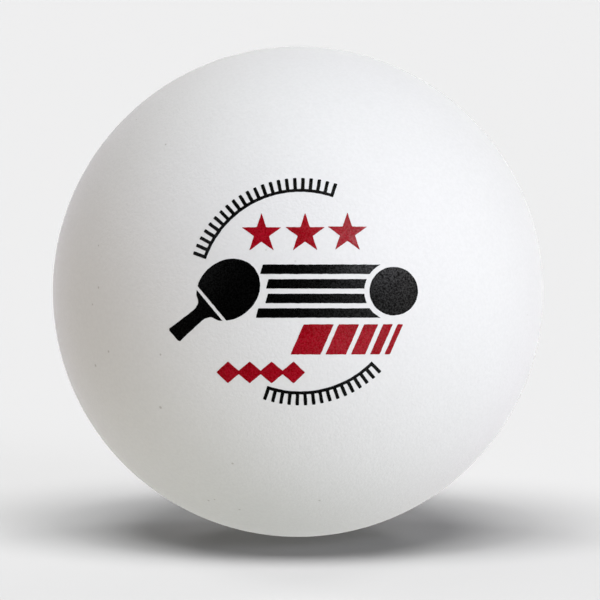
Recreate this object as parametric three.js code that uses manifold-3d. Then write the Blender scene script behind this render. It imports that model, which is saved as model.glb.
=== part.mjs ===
// Table tennis ball: two injection-moulded half shells joined by a cemented lap joint, with a
// pad-printed stamp on the crown of one half. Millimetres, +Z up, origin at the ball's centre.
// The pole-to-pole axis is Y, the seam lies in the plane y = 0, and the printed half faces -Y.
import * as THREE from 'three';
import { mergeVertices } from 'three/addons/utils/BufferGeometryUtils.js';
import Module from 'manifold-3d';

// ---------- driving dimensions ----------
const BALL_R = 20.1;          // outside radius: a 40.2 mm ball
const WALL = 0.47;            // shell thickness away from the seam
const RIM_R = 19.3;           // inside radius of the thickened rim at the seam
const LAP_R = 19.7;           // bore of the rebate in the front half
const SPIGOT_R = 19.62;       // outside of the spigot on the back half
const LAP_DEPTH = 0.83;       // depth of the rebate from the seam plane
const SPIGOT_LEN = 0.75;      // reach of the spigot past the seam plane
const SEAM_GAP = 0.06;        // hairline between the two outer edges
const CEMENT_CLEAR = 0.01;    // cement film drawn this far short of each wall

const AZIMUTH_STEPS = 72;     // facets around the Y axis
const OUTER_STEP = 5;         // degrees of latitude between outer rings
const INNER_STEP = 10;        // degrees of latitude between inner rings

const INK_LIFT = 0.02;        // gap between shell and ink film
const INK_THICK = 0.04;       // ink film thickness
const STAMP_TILT = 7;         // stamp axis above -Y, degrees
const CAP_ANGLE = 45;         // polar extent of the ink blank

// stamp layout, in the plane square to the stamp axis: u to the right, v up
const RING_C = [0.184, 0];     // centre of the two dial-like arcs
const RING_R0 = 7.966;
const RING_R1 = 9.088;
const RING_LINE = 0.245;       // width of the arc's base line
const TICK_W = 0.275;          // width of a tick
const TICK_PITCH = 4.2;       // degrees between ticks
const UPPER_ARC = [70.6, 161.2];
const LOWER_ARC = [-110.8, -42.8];

const STAR_R = 1.663;          // star circumradius
const STAR_WAIST = 0.382;     // inner to outer radius of a regular star
const STARS = { left: [-2.907, 4.621], middle: [0.571, 4.631], right: [3.947, 4.682] };

const BAT_C = [-5.559, 0.153];  // centre of the bat's blade
const BAT_A = 2.703;           // blade half length
const BAT_B = 2.305;           // blade half width
const BAT_TURN = 220;         // direction of the handle, degrees from +u
const BAT_CUT = 1.693;         // edge of the rubber, towards the handle
const BAT_SLOT = 0.255;        // gap between rubber and handle
const GRIP_END = 5.712;         // end of the handle from the blade's centre
const GRIP_W = 0.551;          // handle half width

const DOT_C = [7.65, 0.041];    // ball in flight
const DOT_R = 1.938;
const DOT_CLEAR = 0.428;       // space between the ball and its speed lines
const LINE_V = [1.785, 0.622, -0.541, -1.703];
const LINE_START = [-3.009, -2.55, -2.601, -3.366];
const LINE_H = 0.755;          // height of a speed line
const LINE_SLANT = 0.204;

const STRIPE_BOTTOM = -5.008;
const STRIPE_TOP = -2.601;
const STRIPE_START = -0.592;
const STRIPE_SLANT = 1.051;    // sideways shift from bottom to top
const STRIPE_GAP = 0.398;
const STRIPE_W = [2.397, 1.632, 1.122, 0.765, 0.428];

const DIAMOND_C = [-5.6, -3.85, -2.101, -0.352];
const DIAMOND_V = -6.446;
const DIAMOND_HALF_W = 0.918;
const DIAMOND_HALF_H = 0.877;
const DIAMOND_NECK = 0.133;    // half height of the link between diamonds

// ---------- materials ----------
const shellWhite = new THREE.MeshStandardMaterial({ color: 0xf1f2f4, roughness: 0.62, metalness: 0 });
const shellWhiteBack = new THREE.MeshStandardMaterial({ color: 0xeff0f2, roughness: 0.62, metalness: 0 });
const cementMat = new THREE.MeshStandardMaterial({ color: 0xe4e2da, roughness: 0.35, metalness: 0 });
const inkBlack = new THREE.MeshStandardMaterial({ color: 0x0c0c0e, roughness: 0.45, metalness: 0 });
const inkRed = new THREE.MeshStandardMaterial({ color: 0x96111f, roughness: 0.45, metalness: 0 });

const rad = THREE.MathUtils.degToRad;

// ---------- half shells and cement, as lathes about Y ----------
// A point on a sphere of radius r at polar angle a (degrees) from the pole on side s of Y.
const polar = (r, a, s) => new THREE.Vector2(r * Math.sin(rad(a)), s * r * Math.cos(rad(a)));
const at = (rho, y) => new THREE.Vector2(rho, y);

const innerR = BALL_R - WALL;
const g = SEAM_GAP / 2;
const rimRho = Math.sqrt(BALL_R * BALL_R - g * g);

function outerArc(side) {
  const pts = [];
  for (let a = 0; a < 90 - 1e-6; a += OUTER_STEP) pts.push(polar(BALL_R, a, side));
  pts.push(at(rimRho, side * g));
  return pts;
}

function innerArc(side) {
  const pts = [];
  for (let a = 0; a <= 80 + 1e-6; a += INNER_STEP) pts.push(polar(innerR, a, side));
  return pts;
}

function lathe(points) {
  return new THREE.LatheGeometry(points, AZIMUTH_STEPS);
}

// Front half: its rim carries a rebate on the inside, open towards +Y.
function frontProfile() {
  return [
    ...outerArc(-1),
    at(LAP_R, -g),
    at(LAP_R, -LAP_DEPTH),
    at(RIM_R, -LAP_DEPTH),
    ...innerArc(-1).reverse(),
  ];
}

// Back half: its rim carries a spigot that enters the rebate.
function backProfile() {
  return [
    ...innerArc(1),
    at(RIM_R, -SPIGOT_LEN),
    at(SPIGOT_R, -SPIGOT_LEN),
    at(SPIGOT_R, g),
    ...outerArc(1).reverse(),
  ];
}

// Solvent cement: a web that fills the lap joint, and the fillet squeezed out inside the ball.
function cementProfile() {
  const c = CEMENT_CLEAR;
  return [
    at(19.02, -0.8),
    at(19.09, -1.04),
    at(RIM_R - c, -1.15),
    at(RIM_R - c, -LAP_DEPTH + c),
    at(LAP_R - c, -LAP_DEPTH + c),
    at(LAP_R - c, -g + c),
    at(BALL_R - 0.05, -g + c),
    at(BALL_R - 0.05, g - c),
    at(SPIGOT_R + c, g - c),
    at(SPIGOT_R + c, -SPIGOT_LEN - c),
    at(RIM_R - c, -SPIGOT_LEN - c),
    at(RIM_R - c, -0.45),
    at(19.09, -0.56),
    at(19.02, -0.8),
  ];
}

// ---------- stamp outlines ----------
function outline(points) {
  const shape = new THREE.Shape();
  points.forEach(([x, y], i) => (i ? shape.lineTo(x, y) : shape.moveTo(x, y)));
  shape.closePath();
  return shape;
}

function star([u, v]) {
  const pts = [];
  for (let i = 0; i < 10; i++) {
    const r = i % 2 ? STAR_R * STAR_WAIST : STAR_R;
    const a = rad(90 + 36 * i);
    pts.push([u + r * Math.cos(a), v + r * Math.sin(a)]);
  }
  return outline(pts);
}

// An arc of radial ticks that stand outward on one thin base line.
function tickArc([a0, a1]) {
  const p = (r, a) => [RING_C[0] + r * Math.cos(rad(a)), RING_C[1] + r * Math.sin(rad(a))];
  const line = RING_R0 + RING_LINE;
  const halfIn = (TICK_W / 2 / line) * (180 / Math.PI);
  const halfOut = (TICK_W / 2 / RING_R1) * (180 / Math.PI);
  const count = Math.floor((a1 - a0 - 2 * halfIn) / TICK_PITCH);
  const first = (a0 + a1) / 2 - (count * TICK_PITCH) / 2;
  const pts = [];
  for (let i = 0; i <= count; i++) {
    const a = first + i * TICK_PITCH;
    pts.push(p(line, a - halfIn), p(RING_R1, a - halfOut), p(RING_R1, a + halfOut), p(line, a + halfIn));
  }
  for (let i = count; i >= 0; i--) {
    const a = first + i * TICK_PITCH;
    if (i === count) pts.push(p(RING_R0, a + halfIn));
    else if (i === 0) pts.push(p(RING_R0, a - halfIn));
    else pts.push(p(RING_R0, a));
  }
  return outline(pts);
}

// Bat outlines are drawn along +x from the blade's centre towards the handle, then turned and placed.
function placeBat(points) {
  const a = rad(BAT_TURN);
  return points.map(([x, y]) => [
    BAT_C[0] + x * Math.cos(a) - y * Math.sin(a),
    BAT_C[1] + x * Math.sin(a) + y * Math.cos(a),
  ]);
}

function blade() {
  const start = Math.acos(BAT_CUT / BAT_A);
  const steps = 34;
  const pts = [];
  for (let i = 0; i <= steps; i++) {
    const t = start + ((2 * Math.PI - 2 * start) * i) / steps;
    pts.push([BAT_A * Math.cos(t), BAT_B * Math.sin(t)]);
  }
  return outline(placeBat(pts));
}

function grip() {
  const edge = (x) => BAT_B * Math.sqrt(1 - (x / BAT_A) ** 2);
  const x0 = BAT_CUT + BAT_SLOT;
  const half = [
    [x0, edge(x0)],
    [x0 + 0.26, edge(x0 + 0.26)],
    [2.46, 0.8],
    [2.8, GRIP_W + 0.07],
    [3.3, GRIP_W],
    [GRIP_END - 0.4, GRIP_W + 0.09],
    [GRIP_END - 0.1, GRIP_W + 0.12],
    [GRIP_END, GRIP_W - 0.02],
  ];
  const other = half.map(([x, y]) => [x, -y]).reverse();
  return outline(placeBat([...half, ...other]));
}

function dot() {
  const pts = [];
  for (let i = 0; i < 40; i++) {
    const a = (2 * Math.PI * i) / 40;
    pts.push([DOT_C[0] + DOT_R * Math.cos(a), DOT_C[1] + DOT_R * Math.sin(a)]);
  }
  return outline(pts);
}

// A speed line: slanted at its start, and hollowed round the ball at its end.
function speedLine(i) {
  const reach = DOT_R + DOT_CLEAR;
  const lo = LINE_V[i] - LINE_H / 2;
  const end = [];
  for (let k = 0; k <= 4; k++) {
    const v = lo + (LINE_H * k) / 4;
    end.push([DOT_C[0] - Math.sqrt(reach ** 2 - (v - DOT_C[1]) ** 2), v]);
  }
  return outline([[LINE_START[i], lo], ...end, [LINE_START[i] + LINE_SLANT, lo + LINE_H]]);
}

function stripe(index) {
  let u = STRIPE_START;
  for (let i = 0; i < index; i++) u += STRIPE_W[i] + STRIPE_GAP;
  const w = STRIPE_W[index];
  return outline([
    [u, STRIPE_BOTTOM],
    [u + w, STRIPE_BOTTOM],
    [u + w + STRIPE_SLANT, STRIPE_TOP],
    [u + STRIPE_SLANT, STRIPE_TOP],
  ]);
}

function diamonds() {
  const top = [];
  DIAMOND_C.forEach((c, i) => {
    top.push([c, DIAMOND_HALF_H]);
    if (i < DIAMOND_C.length - 1) top.push([(c + DIAMOND_C[i + 1]) / 2, DIAMOND_NECK]);
  });
  const first = [DIAMOND_C[0] - DIAMOND_HALF_W, 0];
  const last = [DIAMOND_C[DIAMOND_C.length - 1] + DIAMOND_HALF_W, 0];
  const bottom = top.map(([x, y]) => [x, -y]).reverse();
  return outline([first, ...top, last, ...bottom].map(([x, y]) => [x, y + DIAMOND_V]));
}

// ---------- ink films: an outline's prism meeting a thin blank that follows the shell's facets ----------
const wasm = await Module();
wasm.setup();

function toManifold(geometry) {
  const geo = geometry.clone();
  geo.deleteAttribute('normal');
  geo.deleteAttribute('uv');
  const merged = mergeVertices(geo, 1e-5);
  return new wasm.Manifold(
    new wasm.Mesh({
      numProp: 3,
      vertProperties: Float32Array.from(merged.attributes.position.array),
      triVerts: Uint32Array.from(merged.index.array),
    })
  );
}

function fromManifold(solid) {
  const mesh = solid.getMesh();
  const geo = new THREE.BufferGeometry();
  const positions = new Float32Array((mesh.vertProperties.length / mesh.numProp) * 3);
  for (let i = 0; i < positions.length / 3; i++) {
    for (let k = 0; k < 3; k++) positions[3 * i + k] = mesh.vertProperties[i * mesh.numProp + k];
  }
  geo.setAttribute('position', new THREE.BufferAttribute(positions, 3));
  geo.setIndex(new THREE.BufferAttribute(Uint32Array.from(mesh.triVerts), 1));
  const flat = geo.toNonIndexed();
  flat.computeVertexNormals();
  return flat;
}

function blankProfile() {
  const lo = BALL_R + INK_LIFT;
  const hi = lo + INK_THICK;
  const out = [];
  const back = [];
  for (let a = 0; a <= CAP_ANGLE + 1e-6; a += OUTER_STEP) {
    out.push(polar(hi, a, -1));
    back.push(polar(lo, a, -1));
  }
  return [...out, ...back.reverse()];
}

const blank = toManifold(lathe(blankProfile()));

const tilt = rad(STAMP_TILT);
const stampFrame = new THREE.Matrix4().makeBasis(
  new THREE.Vector3(1, 0, 0),
  new THREE.Vector3(0, Math.sin(tilt), Math.cos(tilt)),
  new THREE.Vector3(0, -Math.cos(tilt), Math.sin(tilt))
);

function film(shape) {
  const prism = new THREE.ExtrudeGeometry(shape, { depth: 14, bevelEnabled: false, curveSegments: 1 });
  prism.translate(0, 0, 10);
  prism.applyMatrix4(stampFrame);
  return fromManifold(blank.intersect(toManifold(prism)));
}

// ---------- assembly ----------
const ball = new THREE.Group();
ball.name = 'table_tennis_ball';

function add(name, geometry, material) {
  const mesh = new THREE.Mesh(geometry, material);
  mesh.name = name;
  ball.add(mesh);
}

add('half_shell_front', lathe(frontProfile()), shellWhite);
add('half_shell_back', lathe(backProfile()), shellWhiteBack);
add('seam_cement', lathe(cementProfile()), cementMat);

add('ink_star_left', film(star(STARS.left)), inkRed);
add('ink_star_middle', film(star(STARS.middle)), inkRed);
add('ink_star_right', film(star(STARS.right)), inkRed);
add('ink_ticks_upper', film(tickArc(UPPER_ARC)), inkBlack);
add('ink_ticks_lower', film(tickArc(LOWER_ARC)), inkBlack);
add('ink_bat_blade', film(blade()), inkBlack);
add('ink_bat_grip', film(grip()), inkBlack);
LINE_V.forEach((_, i) => add(`ink_speed_line_${i + 1}`, film(speedLine(i)), inkBlack));
add('ink_ball_dot', film(dot()), inkBlack);
STRIPE_W.forEach((_, i) => add(`ink_stripe_${i + 1}`, film(stripe(i)), inkRed));
add('ink_diamond_row', film(diamonds()), inkRed);

export default ball;
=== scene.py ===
"""A table tennis ball at rest on a pale floor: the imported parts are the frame, and the finished ball is built over them."""
import math

import bpy
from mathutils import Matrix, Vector, noise
from mathutils.geometry import delaunay_2d_cdt


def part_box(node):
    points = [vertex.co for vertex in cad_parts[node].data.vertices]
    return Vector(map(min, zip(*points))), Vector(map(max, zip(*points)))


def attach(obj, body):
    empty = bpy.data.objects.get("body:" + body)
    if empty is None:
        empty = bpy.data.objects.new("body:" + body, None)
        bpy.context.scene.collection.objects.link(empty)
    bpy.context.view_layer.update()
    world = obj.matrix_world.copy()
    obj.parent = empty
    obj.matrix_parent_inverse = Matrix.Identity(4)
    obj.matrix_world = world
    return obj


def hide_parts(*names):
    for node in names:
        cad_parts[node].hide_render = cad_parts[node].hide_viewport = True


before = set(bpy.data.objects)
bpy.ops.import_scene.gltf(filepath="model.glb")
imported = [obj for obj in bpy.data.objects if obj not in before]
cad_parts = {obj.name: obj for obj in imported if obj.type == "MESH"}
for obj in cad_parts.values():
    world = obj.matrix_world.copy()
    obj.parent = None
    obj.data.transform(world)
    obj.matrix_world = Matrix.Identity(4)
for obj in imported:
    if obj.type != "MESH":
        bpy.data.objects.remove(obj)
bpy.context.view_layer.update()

MM = 0.001

# ---------------------------------------------------------------- sizes, in millimetres
front_lo, front_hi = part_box("half_shell_front")
back_lo, back_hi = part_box("half_shell_back")
R = (front_hi.x - front_lo.x) / 2 / MM  # outside radius of the ball
CENTRE = (front_lo + front_hi) / 2
CENTRE.y = (front_lo.y + back_hi.y) / 2
WALL = 0.47
RIM_R = 19.3
LAP_R = 19.7
SPIGOT_R = 19.62
LAP_DEPTH = 0.83
SPIGOT_LEN = 0.75
SEAM_HALF = 0.016  # half of the hairline between the two outer edges
EDGE_R = 0.045  # rounding of those edges

STEPS = 288  # segments round the pole-to-pole axis
FILM_LO = 0.003  # ink film: from this far above the shell ...
FILM_HI = 0.015  # ... to this far
GRID = 0.42  # spacing of the points inside a film
EDGE_STEP = 0.07  # spacing of the points along a film's edge
CORNER = 0.045  # rounding of the print's corners
WOBBLE = 0.018  # unevenness of the print's edge

# ---------------------------------------------------------------- node helpers


def new_material(name):
    mat = bpy.data.materials.new(name)
    mat.use_nodes = True
    nt = mat.node_tree
    nt.nodes.clear()
    out = nt.nodes.new("ShaderNodeOutputMaterial")
    bsdf = nt.nodes.new("ShaderNodeBsdfPrincipled")
    nt.links.new(bsdf.outputs["BSDF"], out.inputs["Surface"])
    return mat, nt, bsdf


def millimetres(nt):
    """Position on the object, in millimetres."""
    tc = nt.nodes.new("ShaderNodeTexCoord")
    sc = nt.nodes.new("ShaderNodeVectorMath")
    sc.operation = "SCALE"
    sc.inputs["Scale"].default_value = 1000.0
    nt.links.new(tc.outputs["Object"], sc.inputs[0])
    return sc.outputs["Vector"]


def noise_tex(nt, vec, scale, detail=2.0, rough=0.5, distortion=0.0):
    n = nt.nodes.new("ShaderNodeTexNoise")
    n.inputs["Scale"].default_value = scale
    n.inputs["Detail"].default_value = detail
    n.inputs["Roughness"].default_value = rough
    n.inputs["Distortion"].default_value = distortion
    nt.links.new(vec, n.inputs["Vector"])
    return n.outputs["Fac"]


def math_node(nt, op, a, b=None, c=None, clamp=False):
    m = nt.nodes.new("ShaderNodeMath")
    m.operation = op
    m.use_clamp = clamp
    for i, x in enumerate((a, b, c)):
        if x is None:
            continue
        if isinstance(x, (int, float)):
            m.inputs[i].default_value = x
        else:
            nt.links.new(x, m.inputs[i])
    return m.outputs[0]


def remap(nt, x, a, b, lo, hi):
    m = nt.nodes.new("ShaderNodeMapRange")
    m.clamp = True
    m.interpolation_type = "SMOOTHSTEP"
    nt.links.new(x, m.inputs["Value"])
    m.inputs["From Min"].default_value = a
    m.inputs["From Max"].default_value = b
    m.inputs["To Min"].default_value = lo
    m.inputs["To Max"].default_value = hi
    return m.outputs["Result"]


def mix_colour(nt, fac, a, b):
    m = nt.nodes.new("ShaderNodeMix")
    m.data_type = "RGBA"
    m.blend_type = "MIX"
    nt.links.new(fac, m.inputs["Factor"])
    for sock, x in ((m.inputs["A"], a), (m.inputs["B"], b)):
        pass
    ins = [s for s in m.inputs if s.type == "RGBA"]
    for sock, x in zip(ins, (a, b)):
        if isinstance(x, (tuple, list)):
            sock.default_value = (*x, 1.0)
        else:
            nt.links.new(x, sock)
    return [s for s in m.outputs if s.type == "RGBA"][0]


def bump(nt, height, distance_mm, strength=1.0, normal=None):
    b = nt.nodes.new("ShaderNodeBump")
    b.inputs["Strength"].default_value = strength
    b.inputs["Distance"].default_value = distance_mm * MM
    nt.links.new(height, b.inputs["Height"])
    if normal is not None:
        nt.links.new(normal, b.inputs["Normal"])
    return b.outputs["Normal"]


# ---------------------------------------------------------------- materials

# tiny specks moulded into the plastic: (x, y, z) on the ball in mm, radius in mm
SPECKS = [
    (-16.37, -10.67, -4.71, 0.115),
    (-11.05, -15.00, -7.54, 0.120),
    (-7.25, -10.04, -15.83, 0.100),
    (-5.26, -15.19, -12.06, 0.095),
    (-16.08, -11.93, 1.80, 0.090),
    (-15.27, -12.65, -3.31, 0.095),
    (-11.02, -16.53, -3.05, 0.085),
    (1.74, -12.77, -15.43, 0.085),
    (-4.74, -10.44, -16.51, 0.090),
    (-13.13, -4.22, 14.62, 0.075),
    (-10.67, -10.69, 13.26, 0.080),
    (-16.58, -11.36, 0.35, 0.075),
    (-6.76, -10.63, -15.66, 0.075),
    (-16.09, -10.92, 5.09, 0.070),
]


def shell_material(name, light, dark, specks=()):
    mat, nt, bsdf = new_material(name)
    mm = millimetres(nt)
    # slow change of tone through the moulding, and a fine grain left by tumbling
    slow = noise_tex(nt, mm, 0.11, 2.0, 0.5)
    grain = noise_tex(nt, mm, 3.6, 3.0, 0.6)
    colour = mix_colour(nt, remap(nt, slow, 0.3, 0.7, 0.0, 1.0), [0.5 * (a + b) for a, b in zip(dark, light)], light)
    colour = mix_colour(nt, remap(nt, grain, 0.64, 0.36, 0.0, 0.42), colour, [0.955 * a for a in dark])
    # the wall is thicker round the seam, which lets less light through and reads slightly denser
    sep = nt.nodes.new("ShaderNodeSeparateXYZ")
    nt.links.new(mm, sep.inputs[0])
    off = math_node(nt, "ABSOLUTE", sep.outputs["Y"])
    band = remap(nt, off, 0.55, 1.05, 1.0, 0.0)
    colour = mix_colour(nt, math_node(nt, "MULTIPLY", band, 0.45), colour, (0.86, 0.86, 0.85))
    # sparse pin-prick specks over the whole ball, then the larger ones
    cells = nt.nodes.new("ShaderNodeTexVoronoi")
    cells.feature = "F1"
    cells.inputs["Scale"].default_value = 0.42
    nt.links.new(mm, cells.inputs["Vector"])
    pick = nt.nodes.new("ShaderNodeSeparateColor")
    nt.links.new(cells.outputs["Color"], pick.inputs[0])
    dot_mask = remap(nt, cells.outputs["Distance"], 0.018, 0.052, 1.0, 0.0)
    chosen = remap(nt, pick.outputs[0], 0.45, 1.0, 0.0, 0.30)
    colour = mix_colour(nt, math_node(nt, "MULTIPLY", dot_mask, chosen), colour, (0.42, 0.39, 0.35))
    for x, y, z, r in specks:
        d = nt.nodes.new("ShaderNodeVectorMath")
        d.operation = "DISTANCE"
        nt.links.new(mm, d.inputs[0])
        d.inputs[1].default_value = (x, y, z)
        near = remap(nt, d.outputs["Value"], r * 0.5, r * 1.5, 0.42, 0.0)
        colour = mix_colour(nt, near, colour, (0.36, 0.33, 0.29))
    nt.links.new(colour, bsdf.inputs["Base Color"])
    # rub marks: a little smoother where the ball has been handled, and where the seam was ground
    rub = noise_tex(nt, mm, 0.35, 3.0, 0.55, 0.4)
    rough = remap(nt, rub, 0.3, 0.7, 0.60, 0.68)
    rough = math_node(nt, "MULTIPLY_ADD", band, -0.06, rough)
    nt.links.new(rough, bsdf.inputs["Roughness"])
    bsdf.inputs["IOR"].default_value = 1.46
    bsdf.inputs["Specular IOR Level"].default_value = 0.45
    fine = noise_tex(nt, mm, 4.6, 4.0, 0.62)
    broad = noise_tex(nt, mm, 0.9, 2.0, 0.5)
    n = bump(nt, fine, 0.042)
    n = bump(nt, broad, 0.008, 1.0, n)
    nt.links.new(n, bsdf.inputs["Normal"])
    return mat


def ink_material(name, base, thin, rough_lo, rough_hi):
    mat, nt, bsdf = new_material(name)
    mm = millimetres(nt)
    # the film is a little thinner in a fine mottle, as a pad leaves it
    mottle = noise_tex(nt, mm, 6.4, 3.0, 0.65)
    blotch = noise_tex(nt, mm, 0.8, 2.0, 0.5)
    t = math_node(nt, "MULTIPLY_ADD", mottle, 0.75, math_node(nt, "MULTIPLY", blotch, 0.25))
    colour = mix_colour(nt, remap(nt, t, 0.38, 0.64, 0.0, 1.0), base, thin)
    nt.links.new(colour, bsdf.inputs["Base Color"])
    nt.links.new(remap(nt, mottle, 0.3, 0.7, rough_lo, rough_hi), bsdf.inputs["Roughness"])
    bsdf.inputs["IOR"].default_value = 1.5
    # where the film has pooled it is glossier, between the pools it is nearly dull
    pool = noise_tex(nt, mm, 7.6, 3.0, 0.65)
    nt.links.new(remap(nt, pool, 0.36, 0.64, 0.02, 0.27), bsdf.inputs["Specular IOR Level"])
    n = bump(nt, noise_tex(nt, mm, 8.5, 3.0, 0.65), 0.0045)
    n = bump(nt, noise_tex(nt, mm, 2.2, 2.0, 0.5), 0.004, 1.0, n)
    nt.links.new(n, bsdf.inputs["Normal"])
    return mat


def cement_material(name):
    mat, nt, bsdf = new_material(name)
    mm = millimetres(nt)
    cloud = noise_tex(nt, mm, 1.4, 3.0, 0.55, 0.3)
    colour = mix_colour(nt, remap(nt, cloud, 0.35, 0.65, 0.0, 1.0), (0.74, 0.72, 0.66), (0.82, 0.80, 0.75))
    nt.links.new(colour, bsdf.inputs["Base Color"])
    nt.links.new(remap(nt, cloud, 0.3, 0.7, 0.30, 0.42), bsdf.inputs["Roughness"])
    bsdf.inputs["IOR"].default_value = 1.5
    nt.links.new(bump(nt, noise_tex(nt, mm, 2.5, 2.0, 0.5), 0.01), bsdf.inputs["Normal"])
    return mat


mat_front = shell_material("shell_white", (0.930, 0.930, 0.930), (0.905, 0.905, 0.903), SPECKS)
mat_back = shell_material("shell_white_back", (0.925, 0.925, 0.923), (0.900, 0.900, 0.896))
mat_cement = cement_material("cement")
mat_red = ink_material("ink_red", (0.280, 0.0003, 0.0045), (0.425, 0.0045, 0.0180), 0.27, 0.33)
mat_black = ink_material("ink_black", (0.0001, 0.0001, 0.0001), (0.0009, 0.0009, 0.0009), 0.27, 0.33)


# ---------------------------------------------------------------- half shells and cement


def mesh_object(name, verts, faces, mat, sharp=None):
    me = bpy.data.meshes.new(name)
    me.from_pydata([Vector(v) * MM + CENTRE for v in verts], [], faces)
    me.validate()
    me.materials.append(mat)
    me.shade_smooth()
    if sharp is not None:
        me.set_sharp_from_angle(angle=math.radians(sharp))
    me.update()
    ob = bpy.data.objects.new(name, me)
    bpy.context.scene.collection.objects.link(ob)
    return ob


def lathe(name, profile, mat, closed=False, sharp=40):
    """profile: (distance from the Y axis, y) in mm. An open profile starts and ends on the axis."""
    verts, rows = [], []
    for rho, y in profile:
        if rho < 1e-6:
            rows.append([len(verts)] * STEPS)
            verts.append((0.0, y, 0.0))
        else:
            rows.append(list(range(len(verts), len(verts) + STEPS)))
            for k in range(STEPS):
                a = 2 * math.pi * k / STEPS
                verts.append((rho * math.cos(a), y, rho * math.sin(a)))
    faces = []
    pairs = list(zip(rows, rows[1:] + (rows[:1] if closed else [])))
    if not closed:
        pairs = pairs[: len(rows) - 1]
    for lo, hi in pairs:
        for k in range(STEPS):
            j = (k + 1) % STEPS
            quad = [lo[k], hi[k], hi[j], lo[j]]
            face = []
            for i in quad:
                if i not in face:
                    face.append(i)
            if len(face) > 2:
                faces.append(face)
    return mesh_object(name, verts, faces, mat, sharp)


def arc(cx, cy, r, a0, a1, n):
    """Points on a circle from angle a0 to a1, in degrees."""
    return [
        (cx + r * math.cos(math.radians(a0 + (a1 - a0) * i / n)), cy + r * math.sin(math.radians(a0 + (a1 - a0) * i / n)))
        for i in range(n + 1)
    ]


def outside(side):
    """Pole to seam along the outside, with the edge at the seam rounded."""
    # the rounding is a circle that touches the sphere from inside and the seam face
    cy = SEAM_HALF + EDGE_R
    crho = math.sqrt((R - EDGE_R) ** 2 - cy**2)
    meet = math.degrees(math.atan2(crho, cy))  # polar angle where it touches the sphere
    pts = []
    n = 68
    for i in range(n):
        a = math.radians(meet * i / n)
        pts.append((R * math.sin(a), side * R * math.cos(a)))
    lat = 90 - meet
    for rho, y in arc(crho, cy, EDGE_R, lat, -90, 7):
        pts.append((rho, side * y))
    return pts


def inside(side, last=80.0):
    r = R - WALL
    n = 44
    return [(r * math.sin(math.radians(last * i / n)), side * r * math.cos(math.radians(last * i / n))) for i in range(n + 1)]


def blend_in(a, b, n=6):
    """A smooth thickening from the wall to the rim, between two profile points."""
    out = []
    for i in range(1, n):
        t = i / n
        s = t * t * (3 - 2 * t)
        out.append((a[0] + (b[0] - a[0]) * s, a[1] + (b[1] - a[1]) * t))
    return out


front_inside = inside(-1)
back_inside = inside(1)
front_profile = (
    outside(-1)
    + [(LAP_R + 0.02, -SEAM_HALF), (LAP_R, -SEAM_HALF - 0.02), (LAP_R, -LAP_DEPTH + 0.02), (LAP_R - 0.02, -LAP_DEPTH)]
    + [(RIM_R + 0.03, -LAP_DEPTH), (RIM_R, -LAP_DEPTH - 0.03)]
    + blend_in((RIM_R, -LAP_DEPTH - 0.03), front_inside[-1])
    + list(reversed(front_inside))
)
back_profile = (
    list(back_inside)
    + list(reversed(blend_in((RIM_R, -0.35), back_inside[-1])))
    + [(RIM_R, -0.35), (RIM_R, -SPIGOT_LEN + 0.03), (RIM_R + 0.03, -SPIGOT_LEN), (SPIGOT_R - 0.03, -SPIGOT_LEN)]
    + [(SPIGOT_R, -SPIGOT_LEN + 0.03), (SPIGOT_R, SEAM_HALF - 0.01), (SPIGOT_R + 0.01, SEAM_HALF)]
    + list(reversed(outside(1)))
)
CL = 0.004  # the cement stops this far short of the plastic
cement_profile = [
    (19.03, -0.80),
    (19.05, -0.93),
    (19.11, -1.03),
    (19.20, -1.09),
    (RIM_R - CL, -1.12),
    (RIM_R - CL, -LAP_DEPTH + CL),
    (LAP_R - 0.02 - CL, -LAP_DEPTH + CL),
    (LAP_R - CL, -LAP_DEPTH + 0.02 + CL),
    (LAP_R - CL, -SEAM_HALF - 0.02 + CL),
    (LAP_R + 0.02, -SEAM_HALF + CL),
    (R - 0.034, -SEAM_HALF + CL),
    (R - 0.030, 0.0),
    (R - 0.034, SEAM_HALF - CL),
    (SPIGOT_R + CL, SEAM_HALF - CL),
    (SPIGOT_R + CL, -SPIGOT_LEN + 0.03),
    (SPIGOT_R - 0.03, -SPIGOT_LEN - CL),
    (RIM_R + 0.03, -SPIGOT_LEN - CL),
    (RIM_R - CL, -SPIGOT_LEN + 0.03),
    (RIM_R - CL, -0.50),
    (19.20, -0.53),
    (19.11, -0.58),
    (19.05, -0.67),
]

shell_front = lathe("front_half", front_profile, mat_front)
shell_back = lathe("back_half", back_profile, mat_back)
cement = lathe("joint_cement", cement_profile, mat_cement, closed=True)

# ---------------------------------------------------------------- the print
STAMP_TILT = 7
t7 = math.radians(STAMP_TILT)
AX_U = Vector((1, 0, 0))
AX_V = Vector((0, math.sin(t7), math.cos(t7)))
AX_W = Vector((0, -math.cos(t7), math.sin(t7)))

RING_C = (0.184, 0.0)
RING_R0, RING_R1, RING_LINE = 7.966, 9.088, 0.245
TICK_W, TICK_PITCH = 0.275, 4.2
UPPER_ARC, LOWER_ARC = (70.6, 161.2), (-110.8, -42.8)
STAR_R, STAR_WAIST = 1.663, 0.382
STARS = {"left": (-2.907, 4.621), "middle": (0.571, 4.631), "right": (3.947, 4.682)}
BAT_C, BAT_A, BAT_B, BAT_TURN = (-5.559, 0.153), 2.703, 2.305, 220
BAT_CUT, BAT_SLOT, GRIP_END, GRIP_W = 1.693, 0.255, 5.712, 0.551
DOT_C, DOT_R, DOT_CLEAR = (7.65, 0.041), 1.938, 0.428
LINE_V = (1.785, 0.622, -0.541, -1.703)
LINE_START = (-3.009, -2.55, -2.601, -3.366)
LINE_H, LINE_SLANT = 0.755, 0.204
STRIPE_BOTTOM, STRIPE_TOP, STRIPE_START, STRIPE_SLANT, STRIPE_GAP = -5.008, -2.601, -0.592, 1.051, 0.398
STRIPE_W = (2.397, 1.632, 1.122, 0.765, 0.428)
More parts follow.
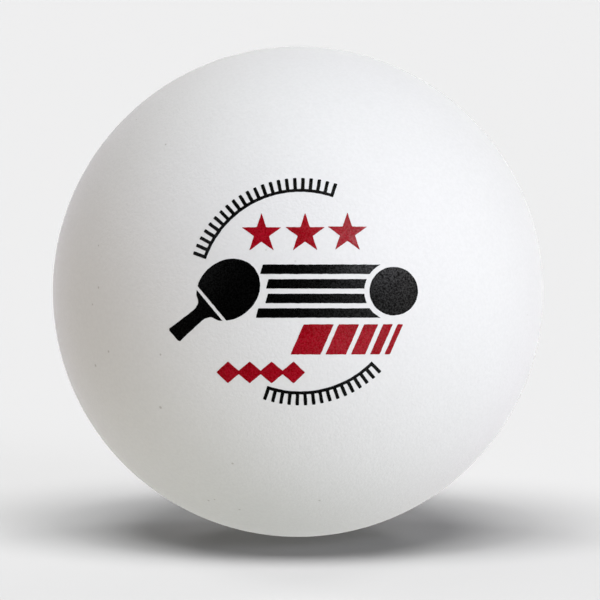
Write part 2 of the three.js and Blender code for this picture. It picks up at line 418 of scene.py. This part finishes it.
DIAMOND_C, DIAMOND_V = (-5.6, -3.85, -2.101, -0.352), -6.446
DIAMOND_HALF_W, DIAMOND_HALF_H, DIAMOND_NECK = 0.918, 0.877, 0.133


def star(c):
    pts = []
    for i in range(10):
        r = STAR_R * STAR_WAIST if i % 2 else STAR_R
        a = math.radians(90 + 36 * i)
        pts.append((c[0] + r * math.cos(a), c[1] + r * math.sin(a)))
    return pts


def tick_arc(ends):
    a0, a1 = ends

    def p(r, a):
        return (RING_C[0] + r * math.cos(math.radians(a)), RING_C[1] + r * math.sin(math.radians(a)))

    line = RING_R0 + RING_LINE
    half_in = math.degrees(TICK_W / 2 / line)
    half_out = math.degrees(TICK_W / 2 / RING_R1)
    count = math.floor((a1 - a0 - 2 * half_in) / TICK_PITCH)
    first = (a0 + a1) / 2 - count * TICK_PITCH / 2
    pts = []
    for i in range(count + 1):
        a = first + i * TICK_PITCH
        pts += [p(line, a - half_in), p(RING_R1, a - half_out), p(RING_R1, a + half_out), p(line, a + half_in)]
        if i < count:  # the base line stays round between two ticks
            for k in (1, 2, 3):
                pts.append(p(line, a + half_in + (TICK_PITCH - 2 * half_in) * k / 4))
    end, start = first + count * TICK_PITCH + half_in, first - half_in
    n = 4 * count
    for i in range(n + 1):
        pts.append(p(RING_R0, end + (start - end) * i / n))
    return pts


def place_bat(points):
    a = math.radians(BAT_TURN)
    return [
        (BAT_C[0] + x * math.cos(a) - y * math.sin(a), BAT_C[1] + x * math.sin(a) + y * math.cos(a)) for x, y in points
    ]


def blade():
    start = math.acos(BAT_CUT / BAT_A)
    n = 120
    return place_bat(
        [
            (BAT_A * math.cos(start + (2 * math.pi - 2 * start) * i / n), BAT_B * math.sin(start + (2 * math.pi - 2 * start) * i / n))
            for i in range(n + 1)
        ]
    )


def smooth_run(points, n=5):
    """Catmull-Rom through the points, keeping both ends."""
    out = []
    ext = [points[0]] + list(points) + [points[-1]]
    for i in range(1, len(ext) - 2):
        p0, p1, p2, p3 = (Vector(q) for q in ext[i - 1 : i + 3])
        for k in range(n):
            t = k / n
            q = 0.5 * ((2 * p1) + (-p0 + p2) * t + (2 * p0 - 5 * p1 + 4 * p2 - p3) * t**2 + (-p0 + 3 * p1 - 3 * p2 + p3) * t**3)
            out.append((q.x, q.y))
    out.append(tuple(points[-1]))
    return out


def grip():
    def edge(x):
        return BAT_B * math.sqrt(1 - (x / BAT_A) ** 2)

    x0 = BAT_CUT + BAT_SLOT
    run = [(x0, edge(x0)), (x0 + 0.26, edge(x0 + 0.26)), (2.46, 0.8), (2.8, GRIP_W + 0.07), (3.3, GRIP_W), (GRIP_END - 0.4, GRIP_W + 0.09)]
    half = smooth_run(run) + [(GRIP_END - 0.1, GRIP_W + 0.12), (GRIP_END, GRIP_W - 0.02)]
    other = [(x, -y) for x, y in reversed(half)]
    return place_bat(half + other)


def dot():
    n = 170
    return [(DOT_C[0] + DOT_R * math.cos(2 * math.pi * i / n), DOT_C[1] + DOT_R * math.sin(2 * math.pi * i / n)) for i in range(n)]


def speed_line(i):
    reach = DOT_R + DOT_CLEAR
    lo = LINE_V[i] - LINE_H / 2
    end = []
    for k in range(13):
        v = lo + LINE_H * k / 12
        end.append((DOT_C[0] - math.sqrt(reach**2 - (v - DOT_C[1]) ** 2), v))
    return [(LINE_START[i], lo)] + end + [(LINE_START[i] + LINE_SLANT, lo + LINE_H)]


def stripe(index):
    u = STRIPE_START + sum(STRIPE_W[:index]) + STRIPE_GAP * index
    w = STRIPE_W[index]
    return [(u, STRIPE_BOTTOM), (u + w, STRIPE_BOTTOM), (u + w + STRIPE_SLANT, STRIPE_TOP), (u + STRIPE_SLANT, STRIPE_TOP)]


def diamonds():
    top = []
    for i, c in enumerate(DIAMOND_C):
        top.append((c, DIAMOND_HALF_H))
        if i < len(DIAMOND_C) - 1:
            top.append(((c + DIAMOND_C[i + 1]) / 2, DIAMOND_NECK))
    first = (DIAMOND_C[0] - DIAMOND_HALF_W, 0)
    last = (DIAMOND_C[-1] + DIAMOND_HALF_W, 0)
    bottom = [(x, -y) for x, y in reversed(top)]
    pts = [first] + top + [last] + bottom
    return [(x, y + DIAMOND_V) for x, y in pts]


def area2(pts):
    return sum(a[0] * b[1] - b[0] * a[1] for a, b in zip(pts, pts[1:] + pts[:1]))


def round_corners(pts):
    """Each corner turns through a short curve, as wet ink leaves it."""
    out = []
    n = len(pts)
    for i in range(n):
        p, q, r = Vector(pts[i - 1]), Vector(pts[i]), Vector(pts[(i + 1) % n])
        a, b = p - q, r - q
        turn = math.pi - a.angle(b) if a.length > 1e-9 and b.length > 1e-9 else 0.0
        if turn < math.radians(18):
            out.append((q.x, q.y))
            continue
        reach = min(CORNER * (1.0 + 1.2 * turn / math.pi), 0.45 * a.length, 0.45 * b.length)
        s, e = q + a.normalized() * reach, q + b.normalized() * reach
        for k in range(6):
            t = k / 5
            m = s * (1 - t) ** 2 + q * 2 * t * (1 - t) + e * t**2
            out.append((m.x, m.y))
    return out


def densify(pts):
    out = []
    for p, q in zip(pts, pts[1:] + pts[:1]):
        p, q = Vector(p), Vector(q)
        n = max(1, math.ceil((q - p).length / EDGE_STEP))
        for k in range(n):
            m = p + (q - p) * k / n
            out.append((m.x, m.y))
    return out


# noise_vector takes its offsets from the random state, which otherwise starts from the clock
noise.seed_set(11)


def uneven(pts, seed):
    out = []
    for x, y in pts:
        d = noise.noise_vector(Vector((x * 2.6, y * 2.6, seed * 7.3))) * WOBBLE
        e = noise.noise_vector(Vector((x * 7.0, y * 7.0, seed * 3.1 + 40))) * WOBBLE * 0.6
        out.append((x + d.x + e.x, y + d.y + e.y))
    return out


def inside_of(pts, x, y, clear):
    hit = False
    for (x0, y0), (x1, y1) in zip(pts, pts[1:] + pts[:1]):
        if (y0 > y) != (y1 > y) and x < (x1 - x0) * (y - y0) / (y1 - y0) + x0:
            hit = not hit
        if abs(x0 - x) < clear and abs(y0 - y) < clear:
            return False
    return hit


def on_ball(u, v, r):
    w = math.sqrt(R * R - u * u - v * v)
    return (AX_U * u + AX_V * v + AX_W * w) / R * r


def film(name, node, outline, mat, seed):
    pts = uneven(densify(round_corners(outline)), seed)
    if area2(pts) < 0:
        pts.reverse()
    n = len(pts)
    us, vs = [p[0] for p in pts], [p[1] for p in pts]
    grid = []
    i0, i1 = math.floor(min(us) / GRID), math.ceil(max(us) / GRID)
    j0, j1 = math.floor(min(vs) / GRID), math.ceil(max(vs) / GRID)
    for j in range(j0, j1 + 1):
        for i in range(i0, i1 + 1):
            x, y = (i + 0.5 * (j % 2)) * GRID, j * GRID
            if inside_of(pts, x, y, 0.12):
                grid.append((x, y))
    flat = [Vector(p) for p in pts + grid]
    out = delaunay_2d_cdt(flat, [], [list(range(n))], 1, 1e-6)
    vs2, tris = out[0], out[2]
    k = len(vs2)
    verts = [on_ball(p.x, p.y, R + FILM_HI) for p in vs2] + [on_ball(p.x, p.y, R + FILM_LO) for p in vs2]
    faces, edges = [], {}
    for f in tris:
        f = list(f)
        if area2([(vs2[i].x, vs2[i].y) for i in f]) < 0:
            f.reverse()
        faces.append(f)
        faces.append([i + k for i in reversed(f)])
        for a, b in zip(f, f[1:] + f[:1]):
            edges[(a, b)] = True
    for a, b in edges:
        if (b, a) not in edges:
            faces.append([b, a, a + k, b + k])
    ob = mesh_object(name, verts, faces, mat, sharp=35)
    ob["print_seed"] = seed
    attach(ob, "root")
    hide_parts(node)
    return ob


for ob, node, s in (
    (shell_front, "half_shell_front", "shell_white"),
    (shell_back, "half_shell_back", "shell_white_back"),
    (cement, "seam_cement", "cement"),
):
    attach(ob, "root")
    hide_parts(node)

seed = 1
for key in ("left", "middle", "right"):
    film(f"print_star_{key}", f"ink_star_{key}", star(STARS[key]), mat_red, seed)
    seed += 1
for i in range(len(STRIPE_W)):
    film(f"print_stripe_{i + 1}", f"ink_stripe_{i + 1}", stripe(i), mat_red, seed)
    seed += 1
film("print_diamonds", "ink_diamond_row", diamonds(), mat_red, seed)
for name, node, shape in (
    ("print_ticks_upper", "ink_ticks_upper", tick_arc(UPPER_ARC)),
    ("print_ticks_lower", "ink_ticks_lower", tick_arc(LOWER_ARC)),
    ("print_bat_blade", "ink_bat_blade", blade()),
    ("print_bat_grip", "ink_bat_grip", grip()),
    ("print_ball_dot", "ink_ball_dot", dot()),
):
    seed += 1
    film(name, node, shape, mat_black, seed)
for i in range(len(LINE_V)):
    seed += 1
    film(f"print_speed_line_{i + 1}", f"ink_speed_line_{i + 1}", speed_line(i), mat_black, seed)

# ---------------------------------------------------------------- floor
FLOOR_Z = CENTRE.z - R * MM
me = bpy.data.meshes.new("floor")
S = 9.0
me.from_pydata([(-S, -S, FLOOR_Z), (S, -S, FLOOR_Z), (S, S, FLOOR_Z), (-S, S, FLOOR_Z)], [], [(0, 1, 2, 3)])
floor = bpy.data.objects.new("floor", me)
bpy.context.scene.collection.objects.link(floor)
FLOOR_ALBEDO = 0.2040
mat, nt, bsdf = new_material("floor_paper")
nt.nodes.remove(bsdf)
dif = nt.nodes.new("ShaderNodeBsdfDiffuse")
dif.inputs["Color"].default_value = (FLOOR_ALBEDO, FLOOR_ALBEDO, FLOOR_ALBEDO, 1)
nt.links.new(dif.outputs[0], nt.nodes["Material Output"].inputs["Surface"])
me.materials.append(mat)
floor.visible_diffuse = False
floor.visible_glossy = False
floor.visible_shadow = False

# ---------------------------------------------------------------- light
# The room, as soft lobes of light: (azimuth from the front towards +X, elevation) in degrees,
# tightness, colour.
LOBES = [
    (-154.6, -7.0, 25.0, (1.669, 1.627, 2.058)),
    (-136.3, 64.2, 25.0, (3.288, 3.503, 3.403)),
    (-125.0, -48.8, 25.0, (0.870, 1.035, 0.942)),
    (-94.4, 7.6, 25.0, (2.353, 1.919, 1.733)),
    (-66.7, 25.9, 25.0, (2.066, 2.116, 2.201)),
    (-60.1, -59.1, 25.0, (2.750, 2.506, 1.855)),
    (-47.7, -84.1, 25.0, (2.259, 2.412, 2.705)),
    (13.6, 50.7, 25.0, (1.164, 1.156, 0.996)),
    (27.8, -17.5, 25.0, (1.882, 1.977, 2.038)),
    (47.9, -12.5, 25.0, (0.952, 0.965, 0.912)),
    (63.2, 13.1, 25.0, (3.048, 2.889, 2.912)),
    (112.8, -18.7, 25.0, (1.552, 1.692, 1.473)),
    (145.2, -21.9, 25.0, (2.293, 1.887, 2.288)),
    (173.0, -3.9, 25.0, (3.404, 3.854, 3.248)),
    (175.9, 30.7, 25.0, (2.119, 1.908, 2.126)),
    (40.0, 28.0, 40.0, (11.036, 11.228, 12.104)),
]


def direction(az, el):
    a, e = math.radians(az), math.radians(el)
    return (math.sin(a) * math.cos(e), -math.cos(a) * math.cos(e), math.sin(e))


world = bpy.data.worlds.new("room")
bpy.context.scene.world = world
world.use_nodes = True
wt = world.node_tree
wt.nodes.clear()
w_out = wt.nodes.new("ShaderNodeOutputWorld")
w_bg = wt.nodes.new("ShaderNodeBackground")
wt.links.new(w_bg.outputs[0], w_out.inputs["Surface"])
tc = wt.nodes.new("ShaderNodeTexCoord")
total = None
for az, el, tight, colour in LOBES:
    d = wt.nodes.new("ShaderNodeVectorMath")
    d.operation = "DOT_PRODUCT"
    wt.links.new(tc.outputs["Generated"], d.inputs[0])
    d.inputs[1].default_value = direction(az, el)
    e = math_node(wt, "MULTIPLY_ADD", d.outputs["Value"], tight, -tight)
    e = math_node(wt, "EXPONENT", e)
    s = wt.nodes.new("ShaderNodeVectorMath")
    s.operation = "SCALE"
    s.inputs[0].default_value = colour
    wt.links.new(e, s.inputs["Scale"])
    if total is None:
        total = s.outputs["Vector"]
    else:
        add = wt.nodes.new("ShaderNodeVectorMath")
        add.operation = "ADD"
        wt.links.new(total, add.inputs[0])
        wt.links.new(s.outputs["Vector"], add.inputs[1])
        total = add.outputs["Vector"]
wt.links.new(total, w_bg.inputs["Color"])
# past the far edge of the floor the camera sees the floor's own tone
w_far = wt.nodes.new("ShaderNodeBackground")
w_far.inputs["Color"].default_value = (0.863, 0.863, 0.863, 1)
w_mix = wt.nodes.new("ShaderNodeMixShader")
w_path = wt.nodes.new("ShaderNodeLightPath")
wt.links.new(w_path.outputs["Is Camera Ray"], w_mix.inputs["Fac"])
wt.links.new(w_bg.outputs[0], w_mix.inputs[1])
wt.links.new(w_far.outputs[0], w_mix.inputs[2])
wt.links.new(w_mix.outputs[0], w_out.inputs["Surface"])
world.cycles.sampling_method = "MANUAL"
world.cycles.sample_map_resolution = 512

# Lamps for the floor alone: (azimuth, elevation, half of the angular width, share of the floor's brightness)
FLOOR_LAMPS = [
    (40.0, 70.0, 15.0, 0.3005),
    (-40.0, 70.0, 15.0, 0.3005),
    (140.0, 35.0, 8.0, 0.0475),
    (-140.0, 35.0, 8.0, 0.0475),
]
floor_only = bpy.data.collections.new("floor_only")
floor_only.objects.link(floor)
for i, (az, el, half, share) in enumerate(FLOOR_LAMPS):
    lamp = bpy.data.lights.new(f"floor_lamp_{i + 1}", "SUN")
    lamp.angle = math.radians(2 * half)
    lamp.energy = share * math.pi / (FLOOR_ALBEDO * math.sin(math.radians(el)))
    ob = bpy.data.objects.new(lamp.name, lamp)
    ob.rotation_mode = "QUATERNION"
    ob.rotation_quaternion = Vector(direction(az, el)).to_track_quat("Z", "Y")
    ob.location = Vector(direction(az, el)) * 1.0
    bpy.context.scene.collection.objects.link(ob)
    ob.light_linking.receiver_collection = floor_only

# ---------------------------------------------------------------- camera
DIST = 0.7
ELEV = math.radians(7)
to_cam = Vector((0, -math.cos(ELEV), math.sin(ELEV)))
up = Vector((0, math.sin(ELEV), math.cos(ELEV)))
cam_data = bpy.data.cameras.new("camera")
cam = bpy.data.objects.new("camera", cam_data)
bpy.context.scene.collection.objects.link(cam)
bpy.context.scene.camera = cam
cam_data.sensor_width = 36.0
FOCAL_PX = 245.14 * math.sqrt((DIST / MM) ** 2 - R * R) / R
cam_data.lens = FOCAL_PX / 600 * 36.0
cam_data.clip_start, cam_data.clip_end = 0.01, 60.0
cam.location = CENTRE + to_cam * DIST
target = CENTRE + Vector((1, 0, 0)) * (2.06 * DIST / FOCAL_PX) - up * (8.36 * DIST / FOCAL_PX)
cam.rotation_mode = "QUATERNION"
cam.rotation_quaternion = (cam.location - target).to_track_quat("Z", "Y")

sc = bpy.context.scene
sc.view_settings.view_transform = "Standard"
sc.view_settings.look = "None"
sc.view_settings.exposure = 0.0
sc.view_settings.gamma = 1.0
sc.cycles.use_denoising = True
